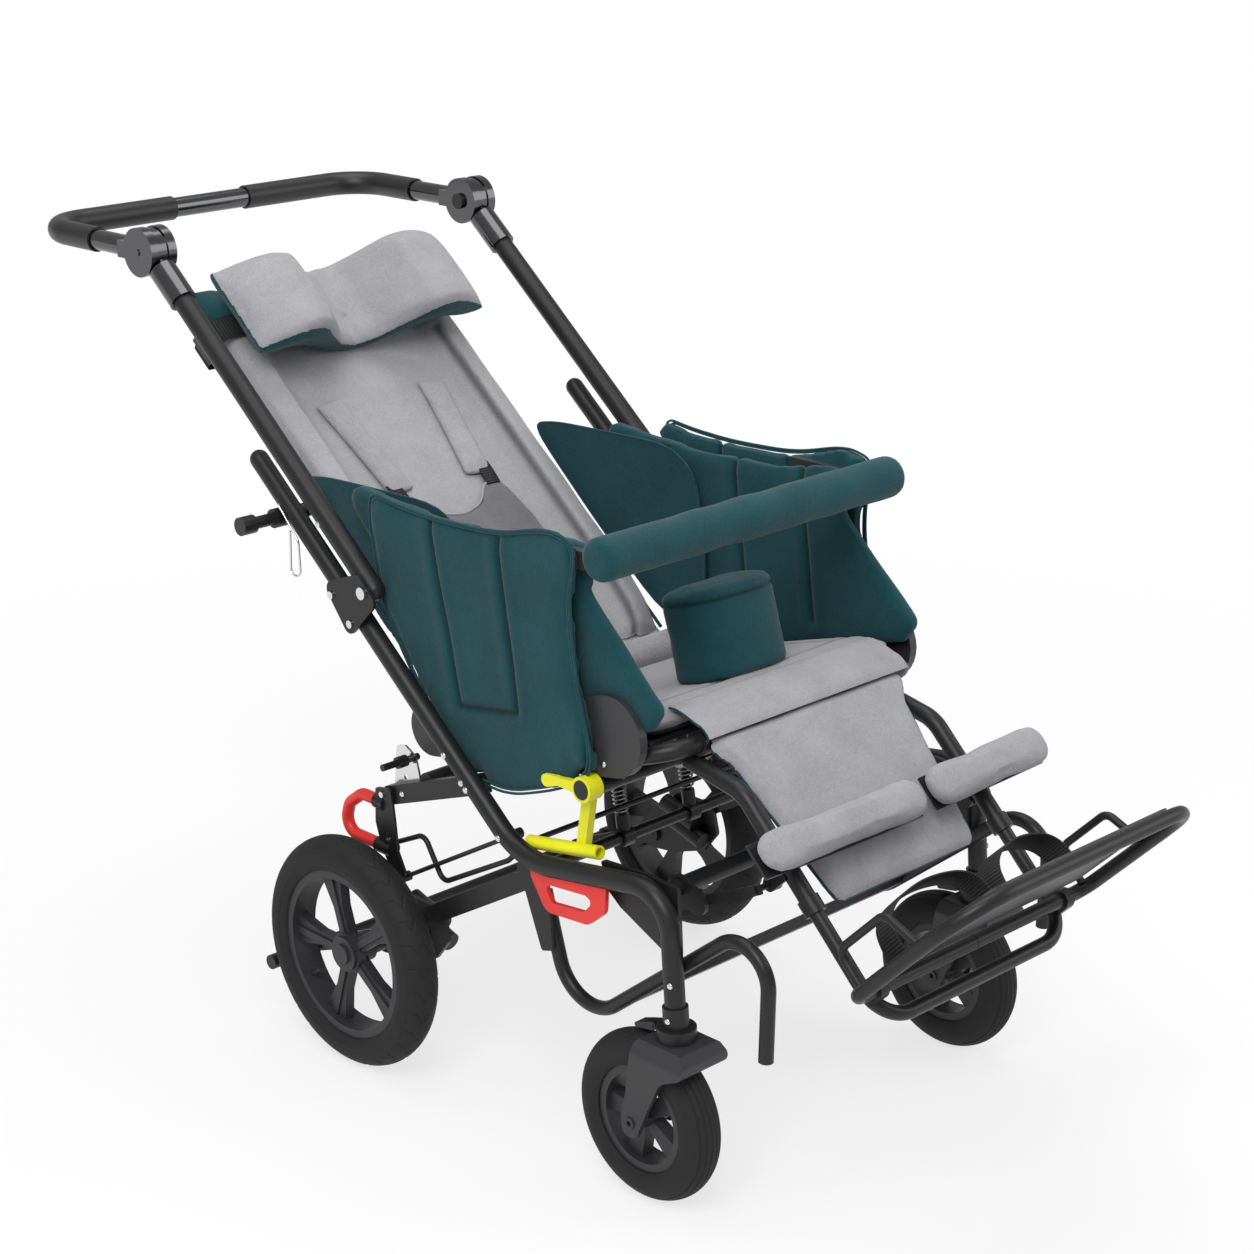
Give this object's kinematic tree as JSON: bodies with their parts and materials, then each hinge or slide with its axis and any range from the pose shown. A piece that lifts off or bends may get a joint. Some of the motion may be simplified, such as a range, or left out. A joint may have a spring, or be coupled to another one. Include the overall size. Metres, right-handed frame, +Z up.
{
  "type": "special needs stroller",
  "caption": "Special needs stroller with tilted teal and grey seat, push handle, padded bar, legrest and footplate",
  "frame": {"origin": "middle of the footprint on the floor, halfway between the footplate's front and the handle's rear", "axes": "+X to the occupant's left, -Y forward over the footplate, +Z up"},
  "size_m": [0.69, 1.6195, 1.0503],
  "materials": {
    "frame_black": "matt black powder coat",
    "fork_grey": "graphite moulded plastic",
    "tyre": "black rubber",
    "black_plastic": "black plastic",
    "handle_metal": "black chrome",
    "grip": "soft black grip",
    "red": "red powder coat",
    "yellow": "yellow powder coat",
    "ivory": "ivory plastic",
    "chrome": "polished",
    "spring_steel": "zinc",
    "dark_plate": "dark grey satin",
    "bar_black": "black",
    "teal_fabric": "teal short pile",
    "grey_fabric": "light grey short pile",
    "harness_grey": "grey padded webbing",
    "webbing": "black ribbed webbing"
  },
  "bodies": {
    "chassis": {"side_tubes": "frame_black", "support_tubes": "frame_black", "cross_tubes": "frame_black", "rear_rails": "frame_black", "frame_plates": "frame_black", "tie_downs": "red", "rear_arms": "frame_black", "damper_bodies": "frame_black", "damper_springs": "spring_steel", "basket_frame": "frame_black", "caster_heads": "frame_black", "pivot_bolts": "chrome", "seat_frame": "frame_black", "side_plates": "dark_plate", "seat_cushion": "grey_fabric", "side_panels": "teal_fabric", "side_flaps": "teal_fabric", "seat_mounts": "yellow"},
    "caster_right": {"caster_fork_right": "fork_grey"},
    "caster_left": {"caster_fork_left": "fork_grey"},
    "front_wheel_right": {"caster_rim_right": "fork_grey", "caster_tyre_right": "tyre"},
    "front_wheel_left": {"caster_rim_left": "fork_grey", "caster_tyre_left": "tyre"},
    "caster_lock_right": {"caster_lock_right": "black_plastic"},
    "caster_lock_left": {"caster_lock_left": "black_plastic"},
    "rear_wheel_right": {"rear_rim_right": "fork_grey", "rear_tyre_right": "tyre"},
    "rear_wheel_left": {"rear_rim_left": "fork_grey", "rear_tyre_left": "tyre"},
    "brake": {"brake_pedal": "frame_black"},
    "push_frame": {"push_tubes": "frame_black", "handle_sockets": "handle_metal"},
    "handle": {"handle_bar": "handle_metal", "handle_grips": "grip"},
    "handle_button_right": {"handle_button_right": "black_plastic"},
    "handle_button_left": {"handle_button_left": "black_plastic"},
    "wire_clip_right": {"wire_clip_right": "chrome"},
    "wire_clip_left": {"wire_clip_left": "chrome"},
    "recline_knob_right": {"recline_knob_right": "black_plastic"},
    "recline_knob_left": {"recline_knob_left": "black_plastic"},
    "backrest": {"back_shell": "teal_fabric", "back_pad": "grey_fabric", "harness": "harness_grey"},
    "headrest": {"headrest": "grey_fabric"},
    "pommel": {"pommel": "teal_fabric"},
    "grab_bar": {"grab_bar_frame": "bar_black", "grab_bar_sleeve": "teal_fabric"},
    "legrest": {"legrest_hangers": "frame_black", "leg_panel": "grey_fabric", "calf_pads": "grey_fabric"},
    "leg_strut": {"leg_struts": "frame_black"},
    "foot_support": {"foot_tubes": "frame_black"},
    "footplate": {"foot_frame": "frame_black", "foot_plate": "dark_plate", "foot_straps": "webbing"},
    "lock_lever_right": {"lock_lever_right": "yellow"},
    "lock_lever_left": {"lock_lever_left": "yellow"},
    "tilt_lever": {"tilt_lever": "ivory"},
    "frame_plunger": {"frame_plunger": "black_plastic"}
  },
  "joints": [
    {"name": "caster_swivel_right", "type": "hinge", "parent": "chassis", "child": "caster_right", "pos_m": [-0.278, -0.4302, 0.2225], "axis": [0, 0, 1], "continuous": true},
    {"name": "front_wheel_spin_right", "type": "hinge", "parent": "caster_right", "child": "front_wheel_right", "pos_m": [-0.278, -0.3862, 0.1067], "axis": [1, 0, 0], "continuous": true},
    {"name": "caster_lock_right_turn", "type": "hinge", "parent": "chassis", "child": "caster_lock_right", "pos_m": [-0.278, -0.3992, 0.229], "axis": [1, 0, 0], "range_deg": [0, 35]},
    {"name": "rear_wheel_spin_right", "type": "hinge", "parent": "chassis", "child": "rear_wheel_right", "pos_m": [-0.3073, 0.1328, 0.156], "axis": [1, 0, 0], "continuous": true},
    {"name": "caster_swivel_left", "type": "hinge", "parent": "chassis", "child": "caster_left", "pos_m": [0.278, -0.4302, 0.2225], "axis": [0, 0, 1], "continuous": true},
    {"name": "front_wheel_spin_left", "type": "hinge", "parent": "caster_left", "child": "front_wheel_left", "pos_m": [0.278, -0.3862, 0.1067], "axis": [1, 0, 0], "continuous": true},
    {"name": "caster_lock_left_turn", "type": "hinge", "parent": "chassis", "child": "caster_lock_left", "pos_m": [0.278, -0.3992, 0.229], "axis": [1, 0, 0], "range_deg": [0, 35]},
    {"name": "rear_wheel_spin_left", "type": "hinge", "parent": "chassis", "child": "rear_wheel_left", "pos_m": [0.3073, 0.1328, 0.156], "axis": [1, 0, 0], "continuous": true},
    {"name": "brake_press", "type": "hinge", "parent": "chassis", "child": "brake", "pos_m": [0, 0.1328, 0.156], "axis": [-1, 0, 0], "range_deg": [0, 18]},
    {"name": "push_fold", "type": "hinge", "parent": "chassis", "child": "push_frame", "pos_m": [0, 0.09661, 0.6497], "axis": [1, 0, 0], "range_deg": [0, 110]},
    {"name": "handle_tilt", "type": "hinge", "parent": "push_frame", "child": "handle", "pos_m": [0, 0.53697, 1.01789], "axis": [1, 0, 0], "range_deg": [-45, 60]},
    {"name": "handle_button_right_press", "type": "slide", "parent": "handle", "child": "handle_button_right", "axis": [-1, 0, 0], "range_m": [0, 0.003], "stiffness_N_per_m": 800},
    {"name": "wire_clip_right_swing", "type": "hinge", "parent": "chassis", "child": "wire_clip_right", "pos_m": [-0.29, 0.26482, 0.72921], "axis": [1, 0, 0], "range_deg": [-10, 40]},
    {"name": "recline_knob_right_pull", "type": "slide", "parent": "chassis", "child": "recline_knob_right", "axis": [-1, 0, 0], "range_m": [0, 0.011], "stiffness_N_per_m": 600},
    {"name": "handle_button_left_press", "type": "slide", "parent": "handle", "child": "handle_button_left", "axis": [1, 0, 0], "range_m": [0, 0.003], "stiffness_N_per_m": 800},
    {"name": "wire_clip_left_swing", "type": "hinge", "parent": "chassis", "child": "wire_clip_left", "pos_m": [0.29, 0.26482, 0.72921], "axis": [1, 0, 0], "range_deg": [-10, 40]},
    {"name": "recline_knob_left_pull", "type": "slide", "parent": "chassis", "child": "recline_knob_left", "axis": [1, 0, 0], "range_m": [0, 0.011], "stiffness_N_per_m": 600},
    {"name": "back_recline", "type": "hinge", "parent": "chassis", "child": "backrest", "pos_m": [0, 0.0358, 0.4727], "axis": [-1, 0, 0], "range_deg": [0, 35]},
    {"name": "headrest_height", "type": "slide", "parent": "backrest", "child": "headrest", "axis": [0, 0.7672, 0.6414], "range_m": [0, 0.03]},
    {"name": "pommel_lift", "type": "slide", "parent": "chassis", "child": "pommel", "axis": [0, 0.284, 0.9588], "range_m": [0, 0.05]},
    {"name": "grab_bar_reach", "type": "slide", "parent": "chassis", "child": "grab_bar", "axis": [0, -1, 0], "range_m": [0, 0.06]},
    {"name": "legrest_lift", "type": "hinge", "parent": "chassis", "child": "legrest", "pos_m": [0, -0.36066, 0.53912], "axis": [-1, 0, 0], "range_deg": [0, 40]},
    {"name": "leg_strut_turn", "type": "hinge", "parent": "legrest", "child": "leg_strut", "pos_m": [0, -0.48718, 0.40401], "axis": [1, 0, 0], "range_deg": [0, 18.1]},
    {"name": "foot_length", "type": "slide", "parent": "legrest", "child": "foot_support", "axis": [0, -0.7071, -0.7071], "range_m": [0, 0.05]},
    {"name": "footplate_flip", "type": "hinge", "parent": "foot_support", "child": "footplate", "pos_m": [0, -0.6409, 0.321], "axis": [1, 0, 0], "range_deg": [0, 35]},
    {"name": "lock_lever_right_turn", "type": "hinge", "parent": "chassis", "child": "lock_lever_right", "pos_m": [-0.266, -0.2652, 0.482], "axis": [1, 0, 0], "range_deg": [0, 45]},
    {"name": "lock_lever_left_turn", "type": "hinge", "parent": "chassis", "child": "lock_lever_left", "pos_m": [0.266, -0.2652, 0.482], "axis": [1, 0, 0], "range_deg": [0, 45]},
    {"name": "tilt_lever_pull", "type": "hinge", "parent": "chassis", "child": "tilt_lever", "pos_m": [-0.103, -0.2652, 0.482], "axis": [1, 0, 0], "range_deg": [-30, 0]},
    {"name": "frame_plunger_pull", "type": "slide", "parent": "chassis", "child": "frame_plunger", "axis": [-1, 0, 0], "range_m": [0, 0.008], "stiffness_N_per_m": 300}
  ],
  "couplings": [
    {"joint": "leg_strut_turn", "follows": "legrest_lift", "ratio": 0.4525}
  ]
}
